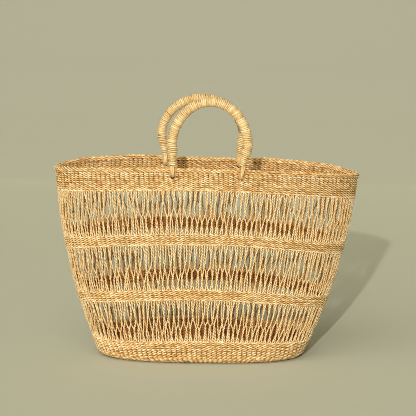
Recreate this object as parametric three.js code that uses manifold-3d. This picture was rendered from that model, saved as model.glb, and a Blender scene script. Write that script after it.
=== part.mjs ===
// A market basket of twined grass: an oval base, a flared wall in which close-woven bands
// alternate with openwork courses, a braided rim border, and two upright wrapped handles.
// Each handle hangs on two grass loops that pass through the wall just below the rim.
// Millimetres. +X runs along the basket, +Y from the front to the back, +Z up.
// The origin is on the resting surface, under the middle of the rim.

import * as THREE from 'three';
import { mergeVertices } from 'three/addons/utils/BufferGeometryUtils.js';
import Module from 'manifold-3d';

// Driving dimensions of the woven body
const rimHalfLength = 250;
const rimHalfDepth = 101;
const baseHalfLength = 170;
const baseHalfDepth = 85;
const rimHeight = 320;
const bandThickness = 6;
const openworkThickness = 4;
const floorThickness = 6;
const baseEdgeRadius = 14;
const rimBorderHeight = 9;
const rimBorderThickness = 10;
const rimBorderSides = 10;
const gap = 0.3; // between pieces that touch
const ringSteps = 48; // facets round the basket

// Where each course ends, as a fraction of the rim height
const courseTops = {
  base_band: 0.123,
  lower_openwork: 0.334,
  lower_band: 0.393,
  middle_openwork: 0.617,
  upper_band: 0.676,
  upper_openwork: 0.887,
};

// How the handmade wall departs from a level, centred one
const endSagAtRim = 9;
const endSagAtMiddle = 16;
const rimTilt = 3; // the right end of the rim is this much lower, the left this much higher
const baseShift = -6; // the base lies a little left of the rim
const wallFlare = 1.5; // how early the wall spreads on its way up
const depthFlare = 1.3;

// Driving dimensions of the handles
const handleThickness = 15.5;
const coreThickness = 9;
const loopWidth = 9; // along X
const loopThickness = 2.8;
const loopInnerRadius = 8.2;
const pivotHeight = 315;
const sleeveTipThickness = 9;
const sleeveTopThickness = 17;
const holeWidth = loopWidth + 2;
const holeTop = pivotHeight - 6.6;
const holeBottom = pivotHeight - 12.2;
const wrapSides = 12; // facets round a handle
const archSteps = 24;

// Each arch is a half ellipse that stands on two sleeves; the feet are where its loops hang
const handles = {
  front: {
    pivotY: -96.3,
    leftFoot: -57,
    rightFoot: 52,
    archCentre: 2,
    archHalfWidth: 59,
    springHeight: 354,
    topHeight: 424,
    topShift: 2,
  },
  rear: {
    pivotY: 96.3,
    leftFoot: -70,
    rightFoot: 57,
    archCentre: -7,
    archHalfWidth: 70,
    springHeight: 357,
    topHeight: 422,
    topShift: -2,
  },
};

const straw = 0xd8b67c;
const paleStraw = 0xe4c996;
const darkStraw = 0xb98f52;

const wasm = await Module();
wasm.setup();

// ---- shared shape helpers

// A power of a sine or cosine that keeps its sign, for the rounded-oblong plan
function signedPower(value, power) {
  return Math.sign(value) * Math.abs(value) ** power;
}

// A point of the wall: height in mm before sag, turn round the plan, and how far outside
// the outer face it lies
function wallPoint(height, turn, outward) {
  const rise = height / rimHeight;
  const squareness = 2.7 - 0.4 * rise;
  const flare = 1 - Math.max(0, 1 - rise) ** wallFlare;
  const spread = 1 - Math.max(0, 1 - rise) ** depthFlare;
  const halfLength = baseHalfLength + (rimHalfLength - baseHalfLength) * flare;
  const halfDepth = baseHalfDepth + (rimHalfDepth - baseHalfDepth) * spread;
  const along = signedPower(Math.cos(turn), 2 / squareness);
  const across = signedPower(Math.sin(turn), 2 / squareness);
  const sag = (endSagAtRim * rise + endSagAtMiddle * Math.sin(Math.PI * rise)) * along ** 2;
  const tilt = rimTilt * (1 - (1 - rise) ** 3) * along;
  return new THREE.Vector3(
    (halfLength + outward) * along + baseShift * (1 - rise),
    (halfDepth + outward) * across,
    height - sag - tilt,
  );
}

// A closed ring round the basket from a profile of [outward, height] points.
// A round lathe is made first, and each of its vertices is then moved to the oval wall.
function wallRing(profile) {
  const drum = 1000;
  const points = profile.map(([outward, height]) => new THREE.Vector2(drum + outward, height));
  points.push(points[0].clone());
  const geometry = new THREE.LatheGeometry(points, ringSteps);
  const position = geometry.attributes.position;
  for (let i = 0; i < position.count; i += 1) {
    const x = position.getX(i);
    const y = position.getZ(i);
    const outward = Math.hypot(x, y) - drum;
    const moved = wallPoint(position.getY(i), Math.atan2(y, x), outward);
    position.setXYZ(i, moved.x, moved.y, moved.z);
  }
  return outwardFacing(geometry);
}

// Only positions, merged, with the faces turned outwards
function outwardFacing(geometry) {
  const bare = geometry.clone();
  bare.deleteAttribute('normal');
  bare.deleteAttribute('uv');
  const merged = dropSlivers(mergeVertices(bare, 1e-3));
  if (signedVolume(merged) < 0) {
    const index = merged.index.array;
    for (let i = 0; i < index.length; i += 3) {
      [index[i + 1], index[i + 2]] = [index[i + 2], index[i + 1]];
    }
  }
  return merged;
}

// Triangles that lost a corner when their vertices merged are left out
function dropSlivers(geometry) {
  const source = geometry.index.array;
  const kept = [];
  for (let i = 0; i < source.length; i += 3) {
    const [a, b, c] = [source[i], source[i + 1], source[i + 2]];
    if (a !== b && b !== c && c !== a) kept.push(a, b, c);
  }
  geometry.setIndex(kept);
  return geometry;
}

function signedVolume(geometry) {
  const position = geometry.attributes.position;
  const index = geometry.index.array;
  const [a, b, c] = [new THREE.Vector3(), new THREE.Vector3(), new THREE.Vector3()];
  let volume = 0;
  for (let i = 0; i < index.length; i += 3) {
    a.fromBufferAttribute(position, index[i]);
    b.fromBufferAttribute(position, index[i + 1]);
    c.fromBufferAttribute(position, index[i + 2]);
    volume += a.dot(b.cross(c)) / 6;
  }
  return volume;
}

function toSolid(geometry) {
  const merged = outwardFacing(geometry);
  return new wasm.Manifold(new wasm.Mesh({
    numProp: 3,
    vertProperties: new Float32Array(merged.attributes.position.array),
    triVerts: new Uint32Array(merged.index.array),
  }));
}

function toGeometry(solid) {
  const mesh = solid.getMesh();
  const geometry = new THREE.BufferGeometry();
  geometry.setAttribute('position', new THREE.BufferAttribute(mesh.vertProperties, 3));
  geometry.setIndex(new THREE.BufferAttribute(mesh.triVerts, 1));
  return geometry;
}

function grass(color, roughness) {
  return new THREE.MeshStandardMaterial({ color, roughness, metalness: 0 });
}

function namedMesh(name, geometry, material) {
  const mesh = new THREE.Mesh(geometry, material);
  mesh.name = name;
  return mesh;
}

// ---- the woven body

// The flat oval floor, standing inside the turned-in foot of the base band
function baseFloor() {
  const steps = ringSteps * 2;
  const outline = new THREE.Shape();
  for (let i = 0; i < steps; i += 1) {
    const edge = wallPoint(0, (i / steps) * 2 * Math.PI, -baseEdgeRadius - gap);
    if (i === 0) outline.moveTo(edge.x, edge.y);
    else outline.lineTo(edge.x, edge.y);
  }
  outline.closePath();
  const geometry = new THREE.ExtrudeGeometry(outline, {
    depth: floorThickness,
    bevelEnabled: false,
  });
  return namedMesh('base_floor', outwardFacing(geometry), grass(straw, 0.8));
}

// The lowest band curves in at its foot to meet the floor
function baseBand() {
  const top = courseTops.base_band * rimHeight;
  const arcSteps = 4;
  const profile = [];
  for (let i = 0; i <= arcSteps; i += 1) {
    const angle = (i / arcSteps) * (Math.PI / 2);
    profile.push([
      -baseEdgeRadius + baseEdgeRadius * Math.sin(angle),
      baseEdgeRadius - baseEdgeRadius * Math.cos(angle),
    ]);
  }
  profile.push([0, top], [-bandThickness, top]);
  const innerRadius = baseEdgeRadius - bandThickness;
  for (let i = arcSteps; i >= 0; i -= 1) {
    const angle = (i / arcSteps) * (Math.PI / 2);
    profile.push([
      -baseEdgeRadius + innerRadius * Math.sin(angle),
      baseEdgeRadius - innerRadius * Math.cos(angle),
    ]);
  }
  return namedMesh('base_band', wallRing(profile), grass(straw, 0.8));
}

// A plain course between two heights; its middle height lets the wall keep its curve
function course(bottom, top, thickness) {
  const outer = -(bandThickness - thickness) / 2;
  const inner = outer - thickness;
  const middle = (bottom + top) / 2;
  return wallRing([
    [outer, bottom],
    [outer, middle],
    [outer, top],
    [inner, top],
    [inner, middle],
    [inner, bottom],
  ]);
}

function openwork(name, below, above) {
  const bottom = courseTops[below] * rimHeight + gap;
  const top = courseTops[above] * rimHeight;
  return namedMesh(name, course(bottom, top, openworkThickness), grass(paleStraw, 0.8));
}

function narrowBand(name, below, above) {
  const bottom = courseTops[below] * rimHeight + gap;
  const top = courseTops[above] * rimHeight;
  return namedMesh(name, course(bottom, top, bandThickness), grass(straw, 0.8));
}

// The top band has one hole for each handle loop
function topBand() {
  const bottom = courseTops.upper_openwork * rimHeight + gap;
  const top = rimHeight - rimBorderHeight - gap;
  let solid = toSolid(course(bottom, top, bandThickness));
  for (const handle of Object.values(handles)) {
    for (const foot of [handle.leftFoot, handle.rightFoot]) {
      solid = solid.subtract(toSolid(loopHole(foot, handle.pivotY)));
    }
  }
  return namedMesh('top_band', toGeometry(solid), grass(straw, 0.8));
}

function loopHole(x, y) {
  const geometry = new THREE.BoxGeometry(holeWidth, bandThickness * 4, holeTop - holeBottom);
  geometry.translate(x, y, (holeTop + holeBottom) / 2);
  return geometry;
}

// The braided border: a fat oval roll over the stake ends
function rimBorder() {
  const centreHeight = rimHeight - rimBorderHeight / 2;
  const profile = [];
  for (let i = 0; i < rimBorderSides; i += 1) {
    const angle = (i / rimBorderSides) * 2 * Math.PI;
    profile.push([
      -bandThickness / 2 + (rimBorderThickness / 2) * Math.cos(angle),
      centreHeight + (rimBorderHeight / 2) * Math.sin(angle),
    ]);
  }
  return namedMesh('rim_border', wallRing(profile), grass(paleStraw, 0.75));
}

// ---- the handles

// The arch's centre line, from the left leg over the top to the right leg
function archCurve(handle) {
  const curve = new THREE.Curve();
  curve.getPoint = (t, target = new THREE.Vector3()) => {
    const angle = Math.PI * (1 - t);
    const lean = handle.topShift * Math.sin(angle);
    return target.set(
      handle.archCentre + handle.archHalfWidth * Math.cos(angle) + lean,
      handle.pivotY,
      handle.springHeight + (handle.topHeight - handle.springHeight) * Math.sin(angle),
    );
  };
  return curve;
}

// A round section, with a round hole through it where the inner radius is above zero
function roundSection(radius, innerRadius) {
  const section = new THREE.Shape();
  section.absarc(0, 0, radius, 0, 2 * Math.PI, false);
  if (innerRadius > 0) {
    const hole = new THREE.Path();
    hole.absarc(0, 0, innerRadius, 0, 2 * Math.PI, true);
    section.holes.push(hole);
  }
  return section;
}

function tubeAlong(curve, radius, innerRadius) {
  const geometry = new THREE.ExtrudeGeometry(roundSection(radius, innerRadius), {
    steps: archSteps,
    curveSegments: wrapSides / 2,
    extrudePath: curve,
    bevelEnabled: false,
  });
  return outwardFacing(geometry);
}

// The bundle of grass inside the arch
function handleCore(name, handle) {
  const geometry = tubeAlong(archCurve(handle), coreThickness / 2, 0);
  return namedMesh(`${name}_handle_core`, geometry, grass(darkStraw, 0.85));
}

// The grass coiled round the core
function handleWrap(name, handle) {
  const geometry = tubeAlong(archCurve(handle), handleThickness / 2, coreThickness / 2 + gap);
  return namedMesh(`${name}_handle_wrap`, geometry, grass(paleStraw, 0.7));
}

// The tapered binding between the arch's end and the loop
function sleeve(name, handle, footX, archEndX) {
  const top = new THREE.Vector3(archEndX, handle.pivotY, handle.springHeight - gap);
  const outerRadius = loopInnerRadius + loopThickness;
  const tip = new THREE.Vector3(footX, handle.pivotY, pivotHeight + outerRadius + gap);
  const direction = top.clone().sub(tip);
  const length = direction.length();
  const tipRadius = sleeveTipThickness / 2;
  const topRadius = sleeveTopThickness / 2;
  const start = leanClearance(direction, tipRadius);
  const end = length - leanClearance(direction, topRadius);
  const profile = [
    new THREE.Vector2(0, start),
    new THREE.Vector2(tipRadius, start),
    new THREE.Vector2(tipRadius + 1.2, length * 0.35),
    new THREE.Vector2(topRadius, length * 0.75),
    new THREE.Vector2(topRadius - 0.6, end),
    new THREE.Vector2(0, end),
  ];
  const geometry = new THREE.LatheGeometry(profile, wrapSides);
  const mesh = namedMesh(name, outwardFacing(geometry), grass(straw, 0.75));
  mesh.quaternion.setFromUnitVectors(new THREE.Vector3(0, 1, 0), direction.normalize());
  mesh.position.copy(tip);
  return mesh;
}

// How much a leaning sleeve is cut back at an end so that its flat face's low or high edge
// stays clear of the piece beyond it
function leanClearance(direction, radius) {
  return radius * Math.abs(direction.x / direction.z);
}

// A strip of grass bent into a ring round the rim, turning on the hinge line
function loop(name, handle, footX) {
  const outerRadius = loopInnerRadius + loopThickness;
  const half = loopWidth / 2;
  const bulge = 0.8;
  const profile = [
    new THREE.Vector2(loopInnerRadius, -half),
    new THREE.Vector2(outerRadius - bulge, -half),
    new THREE.Vector2(outerRadius, -half * 0.5),
    new THREE.Vector2(outerRadius, half * 0.5),
    new THREE.Vector2(outerRadius - bulge, half),
    new THREE.Vector2(loopInnerRadius, half),
    new THREE.Vector2(loopInnerRadius, -half),
  ];
  const geometry = new THREE.LatheGeometry(profile, 24);
  const mesh = namedMesh(name, outwardFacing(geometry), grass(paleStraw, 0.7));
  mesh.rotation.z = Math.PI / 2;
  mesh.position.set(footX, handle.pivotY, pivotHeight);
  return mesh;
}

function handleSet(name, handle) {
  const set = new THREE.Group();
  const leftEnd = handle.archCentre - handle.archHalfWidth;
  const rightEnd = handle.archCentre + handle.archHalfWidth;
  set.add(handleCore(name, handle));
  set.add(handleWrap(name, handle));
  set.add(sleeve(`${name}_left_sleeve`, handle, handle.leftFoot, leftEnd));
  set.add(sleeve(`${name}_right_sleeve`, handle, handle.rightFoot, rightEnd));
  set.add(loop(`${name}_left_loop`, handle, handle.leftFoot));
  set.add(loop(`${name}_right_loop`, handle, handle.rightFoot));
  return set;
}

// ---- the whole basket

const basket = new THREE.Group();
basket.add(baseFloor());
basket.add(baseBand());
basket.add(openwork('lower_openwork', 'base_band', 'lower_openwork'));
basket.add(narrowBand('lower_band', 'lower_openwork', 'lower_band'));
basket.add(openwork('middle_openwork', 'lower_band', 'middle_openwork'));
basket.add(narrowBand('upper_band', 'middle_openwork', 'upper_band'));
basket.add(openwork('upper_openwork', 'upper_band', 'upper_openwork'));
basket.add(topBand());
basket.add(rimBorder());
for (const [name, handle] of Object.entries(handles)) basket.add(handleSet(name, handle));

export default basket;
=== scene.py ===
import math

import bmesh
import bpy
import numpy as np
from mathutils import Matrix, Vector


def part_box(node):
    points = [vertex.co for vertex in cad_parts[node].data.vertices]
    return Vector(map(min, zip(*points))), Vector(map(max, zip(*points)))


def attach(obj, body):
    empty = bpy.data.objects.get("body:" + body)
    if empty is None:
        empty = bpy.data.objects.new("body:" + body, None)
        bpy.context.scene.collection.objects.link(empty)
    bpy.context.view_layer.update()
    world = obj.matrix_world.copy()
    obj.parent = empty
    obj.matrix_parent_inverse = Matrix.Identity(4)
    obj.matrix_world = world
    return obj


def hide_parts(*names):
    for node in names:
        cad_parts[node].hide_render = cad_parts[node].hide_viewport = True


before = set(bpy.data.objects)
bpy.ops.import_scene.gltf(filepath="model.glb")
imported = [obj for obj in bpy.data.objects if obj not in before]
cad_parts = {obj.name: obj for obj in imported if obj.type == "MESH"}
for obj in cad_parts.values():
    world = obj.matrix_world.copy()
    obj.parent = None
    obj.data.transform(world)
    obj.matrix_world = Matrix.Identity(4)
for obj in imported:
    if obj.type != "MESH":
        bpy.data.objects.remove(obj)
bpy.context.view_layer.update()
print("frame loaded")

mm = 0.001
chance = np.random.default_rng(11)

# The wall, as the frame has it: an oval that flares from the base to the rim
wall = {
    "rimHalfLength": 250 * mm,
    "rimHalfDepth": 101 * mm,
    "baseHalfLength": 170 * mm,
    "baseHalfDepth": 85 * mm,
    "rimHeight": 320 * mm,
    "thickness": 6 * mm,
    "footRadius": 14 * mm,
    "endSagAtRim": 9 * mm,
    "endSagAtMiddle": 16 * mm,
    "rimTilt": 3 * mm,
    "baseShift": -6 * mm,
    "lengthFlare": 1.5,  # how early the wall spreads on its way up
    "depthFlare": 1.3,
    "baseSquareness": 2.7,  # 2 is a plain ellipse, and more is squarer
    "squarenessLoss": 0.4,  # from the base to the rim
    "rearLift": 4.0 * mm,  # of the rear of the rim, on either side of its handle
    "liftStart": 0.22,  # where it starts and ends, as shares of the half length
    "liftEnd": 0.99,
    "liftRise": 0.2,  # over how much it comes in at its start, and goes out at its end
    "liftFall": 0.15,
    "liftDepth": 0.4,  # how far back it comes in, as a share of the half depth
}

# Stakes round each course: more are let in as the wall flares, so the spacing stays about the same
stakeSpacing = 8.4 * mm
stakesRound = {
    "base_floor": 44,
    "base_band": 108,
    "lower_openwork": 120,
    "lower_band": 126,
    "middle_openwork": 132,
    "upper_band": 138,
    "upper_openwork": 142,
    "top_band": 148,
    "rim_border": 148,
}

# Heights where one course meets the next, before the ends sag
courseTops = {
    "base_band": 0.123 * wall["rimHeight"],
    "lower_openwork": 0.334 * wall["rimHeight"],
    "lower_band": 0.393 * wall["rimHeight"],
    "middle_openwork": 0.617 * wall["rimHeight"],
    "upper_band": 0.676 * wall["rimHeight"],
    "upper_openwork": 0.887 * wall["rimHeight"],
    "top_band": 313.5 * mm,
}


def linearColour(hexText):
    # sRGB hex to the linear colour that shaders take
    parts = [int(hexText[i:i + 2], 16) / 255 for i in (1, 3, 5)]
    linear = [c / 12.92 if c <= 0.04045 else ((c + 0.055) / 1.055) ** 2.4 for c in parts]
    return (*linear, 1.0)


def addNode(tree, kind, settings=None, sockets=None):
    made = tree.nodes.new(kind)
    for key, value in (settings or {}).items():
        setattr(made, key, value)
    for key, value in (sockets or {}).items():
        if isinstance(value, bpy.types.NodeSocket):
            tree.links.new(value, made.inputs[key])
        else:
            made.inputs[key].default_value = value
    return made


pastRim = 1.02  # the shape runs on this far, as a share of the rim's height


def signedPower(value, power):
    return np.sign(value) * np.abs(value) ** power


def wander(shares, reach):
    # A smooth closed wobble round the basket: a few waves with random phases
    total = np.zeros_like(shares)
    for wave in range(1, 6):
        turns = wave * 2 + int(chance.integers(0, 3))
        total += np.sin(2 * math.pi * turns * shares + chance.uniform(0, 6.28)) / wave
    return total * reach / 2


def ovalPoint(turn, height, outward):
    # A point of the wall: turn is the angle round the plan, height is before sag
    rise = np.clip(height / wall["rimHeight"], 0, pastRim)
    left = np.maximum(0, 1 - rise)
    squareness = wall["baseSquareness"] - wall["squarenessLoss"] * rise
    halfLength = wall["baseHalfLength"] + (wall["rimHalfLength"] - wall["baseHalfLength"]) * (
        1 - left ** wall["lengthFlare"])
    halfDepth = wall["baseHalfDepth"] + (wall["rimHalfDepth"] - wall["baseHalfDepth"]) * (
        1 - left ** wall["depthFlare"])
    along = signedPower(np.cos(turn), 2 / squareness)
    across = signedPower(np.sin(turn), 2 / squareness)
    sag = wall["endSagAtRim"] * rise + wall["endSagAtMiddle"] * np.sin(math.pi * rise)
    tilt = wall["rimTilt"] * (1 - (1 - rise) ** 3)
    # The lift is at the rear alone, and fades out fast below the rim
    shoulder = (np.clip((np.abs(along) - wall["liftStart"]) / wall["liftRise"], 0, 1)
                * np.clip((wall["liftEnd"] - np.abs(along)) / wall["liftFall"], 0, 1))
    lift = wall["rearLift"] * rise ** 4 * shoulder * np.clip(across / wall["liftDepth"], 0, 1)
    return np.stack([
        (halfLength + outward) * along + wall["baseShift"] * (1 - rise),
        (halfDepth + outward) * across,
        height - sag * along ** 2 - tilt * along + lift,
    ], axis=-1)


# Equal steps of arc length round the basket, by height: turnTable[level, step] is the turn
levels = np.linspace(0, wall["rimHeight"] * pastRim, 40)
stepsRound = 1500


def evenTurns(height, outward):
    # Turns at equal steps round the basket, and the whole way round in metres
    turn = np.linspace(0, 2 * math.pi, 3001)
    points = ovalPoint(turn, np.full_like(turn, height), outward)
    gone = np.r_[0, np.cumsum(np.linalg.norm(np.diff(points, axis=0), axis=1))]
    return np.interp(np.linspace(0, gone[-1], stepsRound + 1), gone, turn), gone[-1]


turnTable = np.stack([evenTurns(h, -wall["thickness"] / 2)[0] for h in levels])


def evenTurn(share, height):
    # share of the way round, 0 to 1, measured along the wall at that height
    share = np.mod(share, 1) * stepsRound
    low = np.clip(np.floor(share).astype(int), 0, stepsRound - 1)
    part = share - low
    level = np.clip(height / levels[1], 0, len(levels) - 1.001)
    under = np.floor(level).astype(int)
    over = level - under

    def atLevel(row):
        return turnTable[row, low] * (1 - part) + turnTable[row, low + 1] * part
    return atLevel(under) * (1 - over) + atLevel(under + 1) * over


def shellPoint(share, run, proud):
    # run is the distance up the wall's section from the edge of the floor, and under the
    # floor it is negative; proud is how far outside the middle of the wall the point is
    foot = wall["footRadius"]
    run = np.asarray(run, float) + np.zeros_like(share)
    proud = np.asarray(proud, float) + np.zeros_like(share)
    outer = foot + proud - wall["thickness"] / 2
    angle = np.clip(run / foot, 0, math.pi / 2)
    above = np.maximum(0, run - foot * math.pi / 2)
    height = foot - outer * np.cos(angle) + above
    outward = -foot + outer * np.sin(angle) + np.minimum(run, 0)
    return ovalPoint(evenTurn(share, np.maximum(height, 0)), height, outward)


def runAt(height):
    # From a height on the upright wall to the distance up its section
    return height - wall["footRadius"] + wall["footRadius"] * math.pi / 2


innerBlend = 1.6 * mm  # the depth over which a strand turns from its painted inner shade to its outer tone
strandShift = 37.0  # millimetres between one strand's stretch of the grain and the next one's


def layStrands(name, strands, material, sides=6, closed=False, innerShadeTone=1.0, hollowShade=0.35,
               heartBehind=0.0):
    # One mesh of round strands. Each strand is (points, radii, tones), and may go on with (heart,
    # low, high) and outward. Its tone falls from the distance high to the distance low from its
    # heart line, down to a given share, as painted shade in the hollows between strands, and falls
    # further on the side that faces into the basket, as painted shade for the inside. UV holds
    # millimetres along the strand and the share of the way round it.
    curve = bpy.data.curves.new(name, "CURVE")
    curve.dimensions = "3D"
    curve.twist_mode = "MINIMUM"
    curve.bevel_depth = 1.0
    curve.bevel_resolution = (sides - 4) // 2
    for strand in strands:
        points, radii = strand[:2]
        spline = curve.splines.new("POLY")
        spline.points.add(len(points) - 1)
        spline.points.foreach_set("co", np.c_[points, np.ones(len(points))].ravel())
        spline.points.foreach_set("radius", np.asarray(radii) + np.zeros(len(points)))
        spline.use_cyclic_u = closed
    holder = bpy.data.objects.new(name, curve)
    bpy.context.scene.collection.objects.link(holder)
    graph = bpy.context.evaluated_depsgraph_get()
    mesh = bpy.data.meshes.new_from_object(holder.evaluated_get(graph))
    bpy.data.objects.remove(holder)
    bpy.data.curves.remove(curve)

    spots = np.zeros(len(mesh.vertices) * 3, np.float32)
    mesh.vertices.foreach_get("co", spots)
    spots = spots.reshape(-1, 3)
    counts = np.array([len(s[0]) * sides for s in strands])
    owner = np.repeat(np.arange(len(strands)), counts)
    lengths = np.array([np.linalg.norm(np.diff(s[0], axis=0), axis=1).sum() for s in strands])
    tone = np.concatenate([
        np.repeat(np.asarray(s[2]) + np.zeros(len(s[0])), sides) for s in strands])
    if len(strands[0]) > 3:
        centre, heart = (np.concatenate([np.repeat(s[i], sides, axis=0) for s in strands])
                         for i in (0, 3))
        if len(strands[0]) > 6:
            # The hollows of the inner face lie as the outer ones do, the other way about
            outward = np.concatenate([np.repeat(s[6], sides, axis=0) for s in strands])
            facing = ((spots - centre) * outward).sum(1)
            heart = heart + outward * np.where(facing < 0, 2 * heartBehind, 0)[:, None]
        low, high = (np.concatenate([np.repeat(np.zeros(len(s[0])) + s[i], sides) for s in strands])
                     for i in (4, 5))
        # Painted shade: the closer a point lies to its heart line, the darker it is
        height = np.clip((np.linalg.norm(spots - heart, axis=1) - low) / (high - low), 0, 1)
        height = height * height * (3 - 2 * height)
        tone = tone * (hollowShade + (1 - hollowShade) * height)
    # Painted shade on the side that faces into the basket
    if innerShadeTone < 1:
        facing = np.clip(0.5 + facing / innerBlend, 0, 1)
        tone = tone * (innerShadeTone + (1 - innerShadeTone) * facing)
    mesh.attributes.new("tone", "FLOAT", "POINT").data.foreach_set("value", tone.astype(np.float32))
    layer = mesh.uv_layers[0]
    layer.name = "alongStrand"
    corners = np.zeros(len(mesh.loops), np.int32)
    mesh.loops.foreach_get("vertex_index", corners)
    uv = np.zeros(len(mesh.loops) * 2, np.float32)
    layer.data.foreach_get("uv", uv)
    uv = uv.reshape(-1, 2)
    uv[:, 0] = uv[:, 0] * (lengths / mm)[owner[corners]] + owner[corners] * strandShift
    layer.data.foreach_set("uv", uv.ravel())

    if not closed:
        form = bmesh.new()
        form.from_mesh(mesh)
        ends = [edge for edge in form.edges if edge.is_boundary]
        bmesh.ops.holes_fill(form, edges=ends, sides=sides)
        form.to_mesh(mesh)
        form.free()
    mesh.shade_smooth()
    mesh.materials.clear()
    mesh.materials.append(material)
    piece = bpy.data.objects.new(name, mesh)
    bpy.context.scene.collection.objects.link(piece)
    return piece


# A strand is many blades of grass spliced end to end, each of its own shade, and here and
# there a stitch is paler: partly the pale skin of the blade, partly a painted glint
blades = {
    "stitches": (8, 30),  # the least and the most to a blade
    "scatter": 0.09,
    "stitchScatter": 0.10,
    "skinAndGlintTone": 0.28,
    "skinAndGlintShare": 0.08,
}


def splicedTone(count, stitch, middle):
    tone = np.zeros(count)
    start = 0
    while start < count:
        blade = int(chance.uniform(*blades["stitches"]) * stitch)
        tone[start:start + blade] = middle + chance.normal(0, blades["scatter"])
        start += blade
    stitches = count // stitch + 1
    perStitch = chance.normal(0, blades["stitchScatter"], stitches)
    perStitch += blades["skinAndGlintTone"] * (chance.uniform(0, 1, stitches) < blades["skinAndGlintShare"])
    return np.clip(tone + np.repeat(perStitch, stitch)[:count], 0, 1)


# Round each hole that a loop goes through, the rows spread up and down and the stakes sideways
parting = {
    "rowPush": 3.6 * mm,
    "rowReachAlong": 5.2 * mm,  # how far from the hole it fades out
    "rowReachUp": 4.5 * mm,
    "stakeClear": 7.5 * mm,
    "stakeReachUp": 7 * mm,
}


def partedRows(points, rowHeight):
    for hole in holes:
        side = np.sign(hole.y) * points[:, 1] > 0
        near = np.exp(-((points[:, 0] - hole.x) / parting["rowReachAlong"]) ** 2) * side
        away = math.copysign(1, rowHeight - hole.z)
        share = math.exp(-abs(rowHeight - hole.z) / parting["rowReachUp"])
        points[:, 2] += away * parting["rowPush"] * share * near
    return points


def twinedRow(place, count, look, start=0.0):
    # Two strands that twist round each other and round every stake. place turns shares of the
    # way round, lifts and depths into points, and start is in stitches.
    perStitch = look["pointsPerStitch"]
    total = count * perStitch
    along = np.arange(total) / perStitch
    share = along / count
    sway = wander(share, look["sway"])
    # Each stitch is a little off, eased in so that the strand doesn't jump between stitches
    jitter = np.repeat(chance.normal(0, 1, count), perStitch)
    jitter = 0.5 * jitter + 0.25 * (np.roll(jitter, 2) + np.roll(jitter, -2))
    share = share + start / count
    middle = place(share, sway, np.zeros(total))
    outward = (place(share, sway, np.full(total, mm)) - middle) / mm
    strands = []
    for phase in (0, math.pi):
        turn = math.pi * along + phase
        lift = -look["rise"] * np.sin(turn) * (1 + look["riseJitter"] * jitter)
        proud = look["reach"] * np.cos(turn)
        points = place(share, lift + sway + look["liftJitter"] * jitter, proud)
        plump = look["waist"] + (1 - look["waist"]) * np.abs(np.cos(turn)) ** look["pinch"]
        thick = look["radius"] * plump * (1 + look["thickJitter"] * jitter)
        heart = points - outward * look["heartBehind"] + (middle - points) * look["heartShare"]
        strands.append((points, thick, splicedTone(total, perStitch, look["tone"]), heart,
                        look["hollowLow"], look["hollowHigh"], outward))
    return strands


# The grain that every grass shares, per millimetre along a strand and per turn round it
grain = {
    "streaksPerMm": 0.10,  # real fibres are finer, and would not show
    "blotchesPerMm": 0.22,
    "blotchesRound": 1.3,
    "streakTone": 0.55,  # how far it moves the tone, up and down together
    "blotchTone": 0.7,
    "roughnessSpread": 0.25,
    "bumpStrength": 0.5,
    "ior": 1.46,  # dry plant fibre
    "sheen": 0.06,
    "sheenRoughness": 0.4,
}


# Elephant grass, sun-dried and split: satin straw, streaked along each blade, paler where
# the skin shows and browner where its tone carries painted shade
def driedGrass(name, look):
    material = bpy.data.materials.new(name)
    material.use_nodes = True
    tree = material.node_tree
    shader = tree.nodes["Principled BSDF"]
    tone = addNode(tree, "ShaderNodeAttribute", {"attribute_name": "tone"})
    strand = addNode(tree, "ShaderNodeUVMap", {"uv_map": "alongStrand"})
    streaks = addNode(tree, "ShaderNodeMapping", sockets={
        "Vector": strand.outputs["UV"], "Scale": (grain["streaksPerMm"], look["fibres"], 1.0)})
    fibre = addNode(tree, "ShaderNodeTexNoise", sockets={
        "Vector": streaks.outputs["Vector"], "Scale": 1.0, "Detail": 3.0, "Roughness": 0.6})
    blotches = addNode(tree, "ShaderNodeMapping", sockets={
        "Vector": strand.outputs["UV"],
        "Scale": (grain["blotchesPerMm"], grain["blotchesRound"], 1.0)})
    blotch = addNode(tree, "ShaderNodeTexNoise", sockets={
        "Vector": blotches.outputs["Vector"], "Scale": 1.0, "Detail": 2.0})
    fibreShare = addNode(tree, "ShaderNodeMath", {"operation": "MULTIPLY_ADD"}, {
        0: fibre.outputs["Fac"], 1: grain["streakTone"], 2: -grain["streakTone"] / 2})
    blotchShare = addNode(tree, "ShaderNodeMath", {"operation": "MULTIPLY_ADD"}, {
        0: blotch.outputs["Fac"], 1: grain["blotchTone"], 2: -grain["blotchTone"] / 2})
    mixed = addNode(tree, "ShaderNodeMath", {"operation": "ADD"}, {
        0: fibreShare.outputs[0], 1: blotchShare.outputs[0]})
    shade = addNode(tree, "ShaderNodeMath", {"operation": "ADD", "use_clamp": True}, {
        0: tone.outputs["Fac"], 1: mixed.outputs[0]})
    ramp = addNode(tree, "ShaderNodeValToRGB", sockets={"Fac": shade.outputs[0]})
    stops = ramp.color_ramp.elements
    while len(stops) < len(look["colours"]):
        stops.new(0.5)
    for stop, (position, colour) in zip(stops, look["colours"]):
        stop.position = position
        stop.color = linearColour(colour)
    tree.links.new(ramp.outputs["Color"], shader.inputs["Base Color"])
    rough = addNode(tree, "ShaderNodeMath", {"operation": "MULTIPLY_ADD"}, {
        0: fibre.outputs["Fac"], 1: grain["roughnessSpread"], 2: look["leastRough"]})
    tree.links.new(rough.outputs[0], shader.inputs["Roughness"])
    bump = addNode(tree, "ShaderNodeBump", sockets={
        "Height": fibre.outputs["Fac"], "Strength": grain["bumpStrength"],
        "Distance": look["bump"]})
    tree.links.new(bump.outputs["Normal"], shader.inputs["Normal"])
    shader.inputs["IOR"].default_value = grain["ior"]
    shader.inputs["Specular IOR Level"].default_value = look["gloss"]
    shader.inputs["Sheen Weight"].default_value = grain["sheen"]
    shader.inputs["Sheen Roughness"].default_value = grain["sheenRoughness"]
    return material
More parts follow.
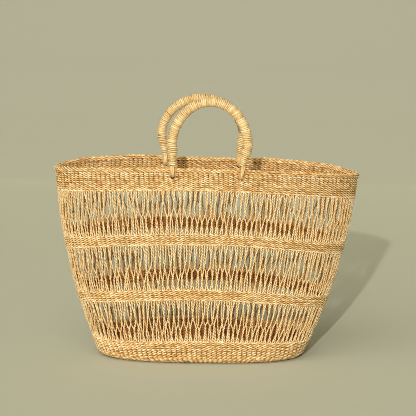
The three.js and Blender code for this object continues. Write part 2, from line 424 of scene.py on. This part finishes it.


# From the brown of painted shade in the hollows to the pale skin of a blade
strawColours = [
    (0.0, "#783f0e"), (0.2, "#a06527"), (0.45, "#c99a55"), (0.65, "#e0bd80"), (0.85, "#f0daab"),
    (1.0, "#fbf0d2")]
wrapColours = [
    (0.0, "#6b380c"), (0.2, "#9c6a30"), (0.45, "#cda364"), (0.65, "#e3c890"), (0.85, "#f1dfb6"),
    (1.0, "#fbf0d2")]
shadedBundleColours = [(0.0, "#4c2508"), (0.2, "#7c4c1c"), (0.6, "#a07036"), (1.0, "#bf904f")]

# Split blades, twined: golden, with a satin gleam on each stitch
weftGrass = driedGrass("driedGrassTwinedWeft", {
    "colours": strawColours, "fibres": 9.0, "leastRough": 0.38, "bump": 0.25 * mm, "gloss": 0.5})
# Blades rolled into plies and twisted: smoother, with painted light along the outer ply
cordGrass = driedGrass("driedGrassTwoPlyCord", {
    "colours": strawColours, "fibres": 6.0, "leastRough": 0.36, "bump": 0.2 * mm, "gloss": 0.5})
# Blades wound tight and rubbed by hands: paler and glossier
wrapGrass = driedGrass("driedGrassCoiledWrap", {
    "colours": wrapColours, "fibres": 6.0, "leastRough": 0.33, "bump": 0.2 * mm, "gloss": 0.55})
# Uncut stalks bundled inside: brown and dull, and kept dark partly as painted shade in the gaps of
# the weave
shadedCoreGrass = driedGrass("driedGrassBundleShaded", {
    "colours": shadedBundleColours, "fibres": 14.0, "leastRough": 0.58, "bump": 0.3 * mm, "gloss": 0.3})
print("materials made")


def handlePlace(name):
    # Where a handle's arch stands and its two loops hang, from the frame
    low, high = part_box(f"{name}_handle_core")
    coreRadius = (high.y - low.y) / 2
    feet = [sum(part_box(f"{name}_{side}_loop"), Vector()) / 2 for side in ("left", "right")]
    loopLow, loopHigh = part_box(f"{name}_left_loop")
    return {
        "name": name,
        "y": (low.y + high.y) / 2,
        "centre": (low.x + high.x) / 2,
        "halfWidth": (high.x - low.x) / 2 - coreRadius,
        "spring": low.z,
        "top": high.z - coreRadius,
        "feet": feet,
        "loopOuter": (loopHigh.z - loopLow.z) / 2,
    }


handlePlaces = [handlePlace("front"), handlePlace("rear")]
holeDrop = 9.6 * mm  # from the hinge line down to the middle of each hole
holes = [foot - Vector((0, 0, holeDrop)) for place in handlePlaces for foot in place["feet"]]


def settle(piece, body, node=None):
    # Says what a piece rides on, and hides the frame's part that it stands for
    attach(piece, body)
    if node:
        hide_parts(node)


# Close-woven bands and floor: rows of two strands twined round upright stakes
weft = {
    "pointsPerStitch": 5,
    "radius": 1.22 * mm,
    "edgeRadius": 1.38 * mm,
    "waist": 0.84,  # how thin a strand is pulled between stakes
    "pinch": 0.8,  # lower is a shorter waist
    "thickJitter": 0.07,
    "reach": 1.25 * mm,  # how far a strand swings in and out round the stakes
    "rise": 0.9 * mm,  # and up and down
    "riseJitter": 0.15,
    "liftJitter": 0.1 * mm,
    "sway": 0.3 * mm,
    "rowPitch": 3.15 * mm,
    "rowShift": -0.06,  # in stitches, from each row to the next one up
    "tone": 0.78,
    "innerShadeTone": 0.30,  # painted shade on the inside, which the light hardly reaches
    "topInnerShadeTone": 0.85,  # less painted shade near the mouth, where more light gets in
    "hollowShade": 0.42,  # share of its tone that a strand keeps in the hollows, as painted shade
    "heartBehind": 0.8 * mm,  # where the hollows are measured from
    "heartShare": 0.2,
    "hollowLow": 1.5 * mm,
    "hollowHigh": 2.2 * mm,
    "stakeRadius": 1.3 * mm,
    # Stakes are kept dark, partly as painted shade in the gaps between the rows
    "stakeTone": (0.15, 0.4),
    "stakeStart": 1 * mm,  # from the innermost row of the floor
    "floorGap": 1.5 * mm,  # half the slit left along the middle of the floor
}


def wallPlace(run, parted=False):
    # Puts a row of weft at a distance up the wall's section
    def place(share, lift, proud):
        points = shellPoint(share, run + lift, proud)
        return partedRows(points, run - runAt(0)) if parted else points
    return place


def bandRows(name, bottom, top):
    rows = max(2, round((top - bottom) / weft["rowPitch"]))
    pitch = (top - bottom) / rows
    strands = []
    for row in range(rows):
        run = bottom + (row + 0.5) * pitch
        edge = row in (0, rows - 1)
        rowLook = {**weft, "radius": weft["edgeRadius"] if edge else weft["radius"]}
        strands += twinedRow(wallPlace(run, name == "top_band"), stakesRound[name], rowLook,
                             row * weft["rowShift"])
    return strands


def bandStakes(bottom, top, count, steps):
    # Under the weft each stake is a plain upright bundle
    strands = []
    for stake in range(count):
        run = np.linspace(bottom, top, steps)
        points = shellPoint(np.full(steps, stake / count), run, 0.0)
        for hole in holes:
            if np.sign(hole.y) * points[0, 1] > 0:
                offset = points[:, 0] - hole.x
                near = np.exp(-((points[:, 2] - hole.z) / parting["stakeReachUp"]) ** 2)
                push = np.maximum(0, parting["stakeClear"] - np.abs(offset)) * near
                points[:, 0] += np.where(offset >= 0, push, -push)
        strands.append((points, weft["stakeRadius"], chance.uniform(*weft["stakeTone"])))
    return strands


def makeBand(name, bottom, top, steps):
    # steps is the number of points along each stake
    inner = weft["topInnerShadeTone"] if name == "top_band" else weft["innerShadeTone"]
    piece = layStrands(f"{name}_weft", bandRows(name, bottom, top), weftGrass, 6, closed=True,
                       innerShadeTone=inner, hollowShade=weft["hollowShade"], heartBehind=weft["heartBehind"])
    stakes = layStrands(f"{name}_stakes", bandStakes(bottom, top, stakesRound[name], steps),
                        shadedCoreGrass, 6)
    settle(piece, "basket", name)
    settle(stakes, "basket")
    print(name, "woven:", len(piece.data.polygons))


makeBand("base_band", 0.0, runAt(courseTops["base_band"]), steps=12)
makeBand("lower_band", runAt(courseTops["lower_openwork"]), runAt(courseTops["lower_band"]),
         steps=3)
makeBand("upper_band", runAt(courseTops["middle_openwork"]), runAt(courseTops["upper_band"]),
         steps=3)
makeBand("top_band", runAt(courseTops["upper_openwork"]), runAt(courseTops["top_band"]), steps=9)


def makeFloor():
    # Rows of weft run round the floor in narrowing ovals, ever fewer stitches to the row
    strands = []
    run = -weft["rowPitch"] / 2
    innermost = wall["footRadius"] - wall["baseHalfDepth"] + weft["floorGap"]
    while run > innermost:
        wayRound = evenTurns(0.0, -wall["footRadius"] + run)[1]
        count = max(8, 2 * round(wayRound / (2 * stakeSpacing)))
        strands += twinedRow(wallPlace(run), count, weft)
        run -= weft["rowPitch"]
    piece = layStrands("base_floor_weft", strands, weftGrass, 6, closed=True, hollowShade=weft["hollowShade"],
                       heartBehind=weft["heartBehind"])
    stakes = layStrands("base_floor_stakes", bandStakes(
        innermost + weft["stakeStart"], 0.0, stakesRound["base_floor"], 6), shadedCoreGrass, 6)
    settle(piece, "basket", "base_floor")
    settle(stakes, "basket")
    print("base_floor woven:", len(piece.data.polygons))


makeFloor()


# Openwork: the stake's two cords part, cross their neighbours and pair up again
cords = {
    "steps": 60,
    "overlap": 3.0 * mm,  # tucked into the bands
    "plyRadius": 0.98 * mm,
    "plyReach": 0.82 * mm,  # from the middle of the cord to the middle of a ply
    "plyWave": 0.08,  # how much a ply swells and thins
    "plyWaveLength": 3.1 * mm,  # along the cord, for each radian of the wave
    "twistPitch": 10.5 * mm,
    "slim": 0.24,  # share by which a cord is thinner half way up, where it is pulled tight
    "tone": 1.12,
    "toneScatter": 0.07,
    "crossingTone": 0.07,  # the cords that lie over the others are the paler ones
    "plyToneGap": 0.05,
    "plyToneScatter": 0.05,
    "underShadeTone": 0.66,  # painted shade on a ply where it dives under the other one
    "underShadePower": 0.7,
    # Painted shade: on the side that faces into the basket, and in the hollows between the plies
    "innerShadeTone": 0.60,
    "hollowShade": 0.75,
    "hollowLow": 0.6 * mm,
    "hollowHigh": 1.3 * mm,
    "lowTier": 0.25,  # heights of the crossings, as shares of the course
    "lowLimits": (0.12, 0.4),
    "lowScatter": 0.10,
    "lowHold": 0.05,  # how long two cords run together at a crossing
    "highTier": 0.58,
    "highLimits": (0.48, 0.86),
    "highScatter": 0.14,
    "highHold": 0.08,
    "tierDrift": 0.08,
    "apart": 0.05,  # in stakes, while they run together
    "bow": 0.13,  # in stakes, how far a cord strays from its way
    "bend": 0.09,
    "drift": 0.4,  # in stakes, how far the tops of the cords stray all together
    "passOver": 0.9 * mm,  # how far a cord stands out, or in, where it crosses
    "passHeight": 0.10,  # over what share of the course
}


cordSmoothing = np.array([1, 3, 5, 6, 5, 3, 1]) / 24  # weights that round a cord's corners


def frameAlong(points, outside):
    # Outward and sideways directions along a path that lies in the wall
    along = np.gradient(points, axis=0)
    along /= np.linalg.norm(along, axis=1)[:, None]
    outward = outside - points
    outward -= (outward * along).sum(1)[:, None] * along
    outward /= np.linalg.norm(outward, axis=1)[:, None]
    return outward, np.cross(along, outward)


def twoPly(points, outside, twist, tone, slim):
    # The cord's two plies, round the path of its middle
    outward, sideways = frameAlong(points, outside)
    gone = np.r_[0, np.cumsum(np.linalg.norm(np.diff(points, axis=0), axis=1))]
    plies = []
    for ply in (0, math.pi):
        angle = 2 * math.pi * gone / cords["twistPitch"] + twist + ply
        offset = np.cos(angle)[:, None] * outward + np.sin(angle)[:, None] * sideways
        wave = cords["plyWave"] * np.sin(gone / cords["plyWaveLength"] + twist)
        thick = cords["plyRadius"] * slim * (1 + wave)
        shade = tone + math.copysign(cords["plyToneGap"], ply - 1)
        shade += chance.normal(0, cords["plyToneScatter"])
        # Painted light and shade: a ply is paler where it lies outermost and darker where it dives
        # under the other
        near = np.clip(np.cos(angle), 0, 1) ** cords["underShadePower"]
        shade = shade * (cords["underShadeTone"] + (1 - cords["underShadeTone"]) * near)
        plies.append((points + offset * (cords["plyReach"] * slim)[:, None], thick,
                      np.clip(shade, 0, 1), points, cords["hollowLow"], cords["hollowHigh"],
                      outward))
    return plies


def makeOpenwork(name, bottom, top):
    foot, head = runAt(bottom), runAt(top)
    run = np.linspace(foot - cords["overlap"], head + cords["overlap"], cords["steps"])
    climb = np.clip((run - foot) / (head - foot), 0, 1)
    count = stakesRound[name]
    # Cords leave a band evenly spaced, two to a stake. Each joins and crosses a neighbour's cord
    # low down, parts from it, and joins and crosses the next one higher up.
    shares = np.arange(count) / count
    tierDrift = wander(shares, cords["tierDrift"])
    lowTier = np.clip(cords["lowTier"] + tierDrift + chance.normal(
        0, cords["lowScatter"], count), *cords["lowLimits"])
    highTier = np.clip(cords["highTier"] + tierDrift + chance.normal(
        0, cords["highScatter"], count), *cords["highLimits"])
    bow = chance.normal(0, cords["bow"], (count, 2))
    bend = chance.normal(0, cords["bend"], (count, 2))
    drift = wander(shares, cords["drift"])
    lowHold, highHold, apart = cords["lowHold"], cords["highHold"], cords["apart"]
    leaning = {-1: [], 1: []}
    for stake in range(count):
        for which, side in enumerate((-1, 1)):
            first = lowTier[stake if side > 0 else (stake - 1) % count]
            second = highTier[(stake + side) % count]
            knots = [0, first - lowHold, first + lowHold, second - highHold, second + highHold, 1]
            # In stakes to the side: a crossing is half way to the neighbour, and then at it
            stops = [0.25, 0.5 - apart, 0.5 + apart, 1 - apart, 1 + apart, 1.25]
            path = np.interp(climb, knots, stops)
            path = np.convolve(np.pad(path, 3, mode="edge"), cordSmoothing, mode="valid")
            place = stake + side * path
            place += bow[stake, which] * np.sin(math.pi * climb)
            place += bend[stake, which] * np.sin(2 * math.pi * climb)
            place += drift[stake] * climb
            over = side * cords["passOver"] * sum(
                np.exp(-((climb - tier) / cords["passHeight"]) ** 2) for tier in (first, second))
            points = shellPoint(place / count, run, over)
            outside = shellPoint(place / count, run, over + 1 * mm)
            tone = chance.normal(cords["tone"] + side * cords["crossingTone"], cords["toneScatter"])
            slim = 1 - cords["slim"] * np.sqrt(np.sin(math.pi * climb))
            leaning[side] += twoPly(points, outside, chance.uniform(0, 6.28), tone, slim)
    for side, way in ((-1, "left"), (1, "right")):
        piece = layStrands(f"{name}_{way}_cords", leaning[side], cordGrass, 4,
                           innerShadeTone=cords["innerShadeTone"], hollowShade=cords["hollowShade"])
        settle(piece, "basket", name)
        print(name, way, "corded:", len(piece.data.polygons))


makeOpenwork("lower_openwork", courseTops["base_band"], courseTops["lower_openwork"])
makeOpenwork("middle_openwork", courseTops["lower_band"], courseTops["middle_openwork"])
makeOpenwork("upper_openwork", courseTops["upper_band"], courseTops["upper_openwork"])


# The rim: five rows of weft carried over the edge, from the outside to the inside
rim = {
    "height": 315.6 * mm,
    "across": 2.6 * mm,  # half sizes of the roll that the rows lie on
    "up": 2.7 * mm,
    "firstAngle": -8,  # degrees, from straight outwards
    "lastAngle": 188,
    "rows": 5,
    "reach": 1.1 * mm,
    "heartRadius": 2.4 * mm,
    "heartTone": 0.3,
    "heartSteps": 496,
}


def rimPlace(angle):
    # Puts a row of weft at an angle round the roll
    def place(share, lift, proud):
        out = (rim["across"] + proud) * math.cos(angle) - lift * math.sin(angle)
        up = (rim["up"] + proud) * math.sin(angle) + lift * math.cos(angle)
        return shellPoint(share, runAt(rim["height"]) + up, out)
    return place


def makeRim():
    count = stakesRound["rim_border"]
    strands = []
    for angle in np.linspace(rim["firstAngle"], rim["lastAngle"], rim["rows"]):
        strands += twinedRow(rimPlace(math.radians(angle)), count, {
            **weft, "reach": rim["reach"]})
    piece = layStrands("rim_border_weft", strands, weftGrass, 6, closed=True, hollowShade=weft["hollowShade"],
                       heartBehind=weft["heartBehind"])
    middle = shellPoint(np.arange(rim["heartSteps"]) / rim["heartSteps"], runAt(rim["height"]), 0.0)
    heart = layStrands("rim_border_heart", [(middle, rim["heartRadius"], rim["heartTone"])],
                       shadedCoreGrass, 8, closed=True)
    settle(piece, "basket", "rim_border")
    settle(heart, "basket")
    print("rim woven:", len(piece.data.polygons))


makeRim()


# Handles: a strand coiled round the arch, and a tapered binding down to each loop
grip = {
    "radius": 8.1 * mm,
    "widen": {"front": (1.6 * mm, 0.2 * mm, 0.8 * mm)},  # left, right and up, past the frame's arch
    "archSteps": 120,
    "pointsPerTurn": 16,
    "strandRadius": 1.55 * mm,
    "pitch": 2.8 * mm,
    "tone": 0.66,
    "toneScatter": 0.07,  # from turn to turn
    # Painted shade in the hollows between the turns of the coil
    "hollowShade": 0.5,
    "hollowLow": 2.2,  # in strand radii, in from the outside of the coil
    "hollowHigh": 0.1,
    # Where a second winding lies over the first: shares of the arch, radius, pitch, strand
    "frontOverwraps": [(0.60, 0.90, 8.5 * mm, 4.4 * mm, 1.7 * mm)],
    "rearOverwraps": [(0.02, 0.10, 8.4 * mm, 3.6 * mm, 1.6 * mm)],
    "overwrapTone": 0.04,
    "overwrapFade": 0.25,  # radians of a half wave cut off, so that its ends don't vanish
    "overwrapSwell": 0.3,  # lower is more abrupt at its ends
    "backPitch": 1.7,  # the second winding runs back again, this much coarser
    "wobbleSteps": 9,  # points between one uneven spot and the next
    "wobbleIn": 0.08,
    "wobbleAlong": 0.12 * mm,
    "wobbleThick": 0.05,
}
# The binding is thin at the loop and swells to meet the coil of the arch
sleeve = {
    "steps": 30,
    "pitch": 3.0 * mm,
    "strandRadius": 1.5 * mm,
    "heights": (0, 0.35, 0.75, 1.0),
    "radii": (5.0 * mm, 6.2 * mm, 8.5 * mm, 7.9 * mm),
    "intoLoop": 2.2 * mm,
    "intoArch": 1.0 * mm,
    "heartIn": 1.6 * mm,
    "heartTone": 0.3,
}


def archPoints(place, steps):
    angle = math.pi * (1 - np.linspace(0, 1, steps))
    left, right, up = grip["widen"].get(place["name"], (0, 0, 0))
    width = place["halfWidth"] + np.where(np.cos(angle) < 0, left, right)
    return np.stack([
        place["centre"] + width * np.cos(angle),
        np.full(steps, place["y"]),
        place["spring"] + (place["top"] + up - place["spring"]) * np.sin(angle),
    ], axis=-1)


def coilRound(path, radii, pitch, strandRadius, tone):
    # A strand wound round a path, turn against turn, as a strand for layStrands
    gone = np.r_[0, np.cumsum(np.linalg.norm(np.diff(path, axis=0), axis=1))]
    turns = gone[-1] / pitch
    count = int(turns * grip["pointsPerTurn"])
    place = np.linspace(0, gone[-1], count)
    centre = np.stack([np.interp(place, gone, path[:, axis]) for axis in range(3)], axis=-1)
    radius = np.interp(place, gone, radii)
    along = np.gradient(centre, axis=0)
    along /= np.linalg.norm(along, axis=1)[:, None]
    backward = np.tile([0.0, 1.0, 0.0], (count, 1))
    side = np.cross(along, backward)
    angle = np.linspace(0, 2 * math.pi * turns, count)
    uneven = np.arange(0, count + grip["wobbleSteps"], grip["wobbleSteps"])
    wobble = np.interp(np.arange(count), uneven, chance.normal(0, 1, len(uneven)))
    reach = radius - strandRadius * (1 - grip["wobbleIn"] * wobble)
    points = centre + reach[:, None] * (
        np.cos(angle)[:, None] * side + np.sin(angle)[:, None] * backward)
    points += along * (grip["wobbleAlong"] * wobble)[:, None]
    perTurn = np.repeat(chance.normal(0, grip["toneScatter"], int(turns) + 2),
                        grip["pointsPerTurn"])[:count]
    return (points, strandRadius * (1 + grip["wobbleThick"] * wobble),
            np.clip(tone + perTurn, 0, 1), centre, radius - grip["hollowLow"] * strandRadius,
            radius - grip["hollowHigh"] * strandRadius)


def makeGrip(place):
    name = place["name"]
    steps, tone, fade = grip["archSteps"], grip["tone"], grip["overwrapFade"]
    path = archPoints(place, steps)
    coils = [coilRound(path, np.full(steps, grip["radius"]), grip["pitch"], grip["strandRadius"],
                       tone)]
    for first, last, radius, pitch, thick in grip[f"{name}Overwraps"]:
        part = path[int(first * (steps - 1)):int(last * (steps - 1)) + 1]
        swell = np.sin(np.linspace(fade, math.pi - fade, len(part))) ** grip["overwrapSwell"]
        coils.append(coilRound(part, radius * swell, pitch, thick, tone + grip["overwrapTone"]))
        coils.append(coilRound(part[::-1], radius * swell, grip["backPitch"] * pitch, thick, tone))
    piece = layStrands(f"{name}_handle_coil", coils, wrapGrass, 6, hollowShade=grip["hollowShade"])
    settle(piece, f"{name}_handle", f"{name}_handle_wrap")
    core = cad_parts[f"{name}_handle_core"]
    core.data.materials.clear()
    core.data.materials.append(shadedCoreGrass)


def makeSleeve(place, side):
    name = f"{place['name']}_{side}_sleeve"
    foot = place["feet"][0 if side == "left" else 1]
    end = place["centre"] + place["halfWidth"] * (-1 if side == "left" else 1)
    start = np.array([foot.x, foot.y, foot.z + place["loopOuter"] - sleeve["intoLoop"]])
    stop = np.array([end, foot.y, place["spring"] + sleeve["intoArch"]])
    share = np.linspace(0, 1, sleeve["steps"])
    path = start + (stop - start) * share[:, None]
    radii = np.interp(share, sleeve["heights"], sleeve["radii"])
    coil = coilRound(path, radii, sleeve["pitch"], sleeve["strandRadius"], grip["tone"])
    heart = (path, radii - sleeve["heartIn"], sleeve["heartTone"])
    piece = layStrands(f"{name}_binding", [coil], wrapGrass, 6, hollowShade=grip["hollowShade"])
    inside = layStrands(f"{name}_strands", [heart], shadedCoreGrass, 8)
    settle(piece, f"{place['name']}_handle", name)
    settle(inside, f"{place['name']}_handle")


# Each loop is three blades side by side, ringing the rim and the hinge line, and goes through a
# hole in the top band
loopLook = {
    "grow": {"front_left": -1.3 * mm, "front_right": 1.2 * mm},  # to the ring's radius
    "lean": {"front_left": -0.5 * mm, "front_right": 2.2 * mm},  # sideways at the top
    "inset": 1.5 * mm,  # of the blades' middle, from the outside of the frame's loop
    "lanes": [  # sideways and outwards from there, and radius
        (-1.9 * mm, -0.5 * mm, 1.35 * mm), (0, 0, 1.6 * mm), (1.9 * mm, -0.5 * mm, 1.35 * mm)],
    "steps": 48,
    "wave": 0.2 * mm,
    "tone": 0.60,
    "toneScatter": 0.04,
    # Painted shade in the hollows between the blades, measured in from the outside
    "heartIn": 2 * mm,
    "hollowLow": 1.5 * mm,
    "hollowHigh": 3.4 * mm,
    # The dark ring of painted shade in each hole:
    "holeSteps": 20,
    "holeRadius": 2.9 * mm,
    "holeProud": 1.2 * mm,
    "holeDown": 0.6 * mm,
    "holeStrand": 1.0 * mm,
}


def loopPlace(place, side):
    # A loop's name, the point it turns about, its blades' radius and its lean
    name = f"{place['name']}_{side}"
    foot = place["feet"][0 if side == "left" else 1]
    radius = place["loopOuter"] - loopLook["inset"] + loopLook["grow"].get(name, 0)
    return name, foot, radius, loopLook["lean"].get(name, 0)


def makeHoleShade(place, side):
    # A dark ring where the weft is bound back round each hole: painted shade for the shadow in the
    # hole under the loop
    name, foot, radius, lean = loopPlace(place, side)
    steps = loopLook["holeSteps"]
    angle = np.linspace(0, 2 * math.pi, steps, endpoint=False)
    facing = math.copysign(1, foot.y)
    points = np.stack([
        foot.x - lean + loopLook["holeRadius"] * np.cos(angle),
        np.full(steps, foot.y + facing * loopLook["holeProud"]),
        foot.z - radius + loopLook["holeDown"] + loopLook["holeRadius"] * np.sin(angle)], axis=-1)
    piece = layStrands(f"top_band_{name}_hole", [(points, loopLook["holeStrand"], 0.0)],
                       shadedCoreGrass, 6, closed=True)
    settle(piece, "basket")


def makeLoop(place, side):
    name, foot, radius, lean = loopPlace(place, side)
    angle = np.linspace(0, 2 * math.pi, loopLook["steps"], endpoint=False)
    inner = radius - loopLook["heartIn"]
    centre = np.stack([foot.x + lean * np.cos(angle), foot.y + inner * np.sin(angle),
                       foot.z + inner * np.cos(angle)], axis=-1)
    strands = []
    for across, rise, thick in loopLook["lanes"]:
        wide = across + loopLook["wave"] * np.sin(angle * 2 + across / mm) + lean * np.cos(angle)
        reach = radius + rise + loopLook["wave"] * np.cos(angle * 3 + rise / mm)
        points = np.stack([
            foot.x + wide, foot.y + reach * np.sin(angle), foot.z + reach * np.cos(angle)], axis=-1)
        tone = np.clip(chance.normal(loopLook["tone"], loopLook["toneScatter"]), 0, 1)
        strands.append((points, thick, tone, centre, loopLook["hollowLow"], loopLook["hollowHigh"]))
    piece = layStrands(f"{name}_loop_strip", strands, wrapGrass, 8, closed=True)
    settle(piece, f"{place['name']}_handle", f"{name}_loop")


for place in handlePlaces:
    makeGrip(place)
    for side in ("left", "right"):
        makeSleeve(place, side)
        makeLoop(place, side)
        makeHoleShade(place, side)
print("handles wrapped")


# The stage: one sweep of paper under and behind the basket, in metres
stageSizes = {
    "halfWidth": 16.0,
    "front": -12.0,
    "bendStart": 2.4,
    "bendRadius": 1.4,
    "bendSteps": 24,
    "top": 5.0,
    "colour": "#c3c5b4",
    "roughness": 0.95,
    "gloss": 0.1,
    "levelLight": 2.46,  # what falls on the floor, and what more on an upright face
    "frontLight": 3.25,
    "skyShare": 0.32,
    "gradedAt": (0, 2, 4, 7, 11, 16, 22, 30, 45, 60, 75, 90),  # degrees of the bend
    "nearEdge": -0.8,
    "nearShade": 0.91,  # from near the lamps to far off it grows a little paler
    "farShade": 1.13,
}


def paintedPaper():
    # Matte painted paper: no gleam, one even tone. It is graded darker as it turns up to face
    # the light, so that the floor and the back read as one.
    material = bpy.data.materials.new("mattePaintedPaper")
    material.use_nodes = True
    tree = material.node_tree
    shader = tree.nodes["Principled BSDF"]
    place = addNode(tree, "ShaderNodeTexCoord")
    split = addNode(tree, "ShaderNodeSeparateXYZ", sockets={"Vector": place.outputs["Object"]})
    height = addNode(tree, "ShaderNodeMath", {"operation": "DIVIDE"}, {
        0: split.outputs["Z"], 1: stageSizes["bendRadius"]})
    ramp = addNode(tree, "ShaderNodeValToRGB", sockets={"Fac": height.outputs[0]})
    stops = ramp.color_ramp.elements
    paper = linearColour(stageSizes["colour"])[:3]
    level, sky = stageSizes["levelLight"], stageSizes["skyShare"]
    for step, degrees in enumerate(stageSizes["gradedAt"]):
        angle = math.radians(degrees)
        lit = level / (level * math.cos(angle) * (1 - sky) + level * sky
                       + stageSizes["frontLight"] * math.sin(angle))
        stop = stops[step] if step < 2 else stops.new(1.0)
        stop.position = 1 - math.cos(angle)
        stop.color = (*(part * lit for part in paper), 1.0)
    away = addNode(tree, "ShaderNodeMapRange", sockets={
        "Value": split.outputs["Y"], "From Min": stageSizes["nearEdge"],
        "From Max": stageSizes["bendStart"], "To Min": stageSizes["nearShade"],
        "To Max": stageSizes["farShade"]})
    graded = addNode(tree, "ShaderNodeVectorMath", {"operation": "SCALE"}, {
        0: ramp.outputs["Color"], "Scale": away.outputs["Result"]})
    tree.links.new(graded.outputs["Vector"], shader.inputs["Base Color"])
    shader.inputs["Roughness"].default_value = stageSizes["roughness"]
    shader.inputs["Specular IOR Level"].default_value = stageSizes["gloss"]
    return material


def makeSweep():
    # A paper sweep: floor, a quarter bend and an upright back, spun and drawn out with bmesh
    form = bmesh.new()
    first = form.verts.new((-stageSizes["halfWidth"], stageSizes["front"], 0))
    second = form.verts.new((-stageSizes["halfWidth"], stageSizes["bendStart"], 0))
    form.edges.new((first, second))
    bend = bmesh.ops.spin(
        form, geom=[second], axis=(1, 0, 0), angle=math.pi / 2, steps=stageSizes["bendSteps"],
        cent=(-stageSizes["halfWidth"], stageSizes["bendStart"], stageSizes["bendRadius"]),
        use_duplicate=False)
    last = next(v for v in bend["geom_last"] if isinstance(v, bmesh.types.BMVert))
    high = bmesh.ops.extrude_vert_indiv(form, verts=[last])["verts"][0]
    high.co.z = stageSizes["top"]
    grown = bmesh.ops.extrude_edge_only(form, edges=form.edges[:])
    for vert in [g for g in grown["geom"] if isinstance(g, bmesh.types.BMVert)]:
        vert.co.x = stageSizes["halfWidth"]
    bmesh.ops.recalc_face_normals(form, faces=form.faces[:])
    mesh = bpy.data.meshes.new("paper_sweep")
    form.to_mesh(mesh)
    form.free()
    mesh.shade_smooth()
    mesh.materials.append(paintedPaper())
    sweep = bpy.data.objects.new("paper_sweep", mesh)
    bpy.context.scene.collection.objects.link(sweep)


makeSweep()

# A small lamp a little left of the camera and above it, which draws a crisp shadow, and a broad
# soft one high in front. Both look at a point half way up the basket.
lightAim = Vector((0, 0, 0.2))
lights = {
    "key": {"kind": "AREA", "place": (-0.24, -2.155, 0.868), "size": 0.04, "strength": 7.0,
            "colour": "#fff8ee"},
    "fill": {"kind": "SUN", "place": (-1.1, -2.0, 2.25), "size": 70.0, "strength": 1.5,
             "colour": "#fff8ea"},
}


def makeLight(name, look):
    lamp = bpy.data.lights.new(name, look["kind"])
    if look["kind"] == "SUN":
        lamp.angle = math.radians(look["size"])
    else:
        lamp.shape = "DISK"
        lamp.size = look["size"]
        # Its light doesn't weaken with distance, as from a lamp far off
        lamp.use_nodes = True
        reach = addNode(lamp.node_tree, "ShaderNodeLightFalloff", sockets={"Strength": 1.0})
        lamp.node_tree.links.new(
            reach.outputs["Constant"], lamp.node_tree.nodes["Emission"].inputs["Strength"])
    lamp.energy = look["strength"]
    lamp.color = linearColour(look["colour"])[:3]
    holder = bpy.data.objects.new(name, lamp)
    holder.location = look["place"]
    aim = lightAim - Vector(look["place"])
    holder.rotation_euler = aim.to_track_quat("-Z", "Y").to_euler()
    bpy.context.scene.collection.objects.link(holder)


for name, look in lights.items():
    makeLight(name, look)

sky = {"colour": "#f2eac2", "strength": 0.25}  # light from all round, as off pale walls
world = bpy.data.worlds.new("softStudio")
world.use_nodes = True
background = world.node_tree.nodes["Background"]
background.inputs["Color"].default_value = linearColour(sky["colour"])
background.inputs["Strength"].default_value = sky["strength"]
bpy.context.scene.world = world
bpy.context.scene.view_settings.view_transform = "Standard"
# A narrow filter and no prefilter in the denoiser keep the strands crisp
bpy.context.scene.cycles.filter_width = 0.8
bpy.context.scene.cycles.denoising_prefilter = "NONE"

cameraLook = {
    "distance": 2.0,
    "height": 0.5186,
    "azimuth": -1.5,  # degrees, as are the next two
    "pitch": 7.8,
    "roll": 1.0,
    "aside": 2.5 * mm,
    "lens": 105.5,  # millimetres, as is the sensor
    "sensor": 36,
    "farthest": 50,
}


def makeCamera():
    data = bpy.data.cameras.new("camera")
    data.lens = cameraLook["lens"]
    data.sensor_width = cameraLook["sensor"]
    data.clip_end = cameraLook["farthest"]
    azimuth, pitch, roll = (math.radians(cameraLook[k]) for k in ("azimuth", "pitch", "roll"))
    forward = Vector((-math.sin(azimuth) * math.cos(pitch), math.cos(azimuth) * math.cos(pitch),
                      -math.sin(pitch)))
    level = forward.cross(Vector((0, 0, 1))).normalized()
    upright = level.cross(forward)
    right = level * math.cos(roll) + upright * math.sin(roll)
    up = upright * math.cos(roll) - level * math.sin(roll)
    spot = Vector((math.sin(azimuth) * cameraLook["distance"],
                   -math.cos(azimuth) * cameraLook["distance"], cameraLook["height"]))
    spot += right * cameraLook["aside"]
    turned = Matrix((right, up, -forward)).transposed().to_4x4()
    holder = bpy.data.objects.new("camera", data)
    holder.matrix_world = Matrix.Translation(spot) @ turned
    bpy.context.scene.collection.objects.link(holder)
    bpy.context.scene.camera = holder


makeCamera()
print("stage, lights and camera set")
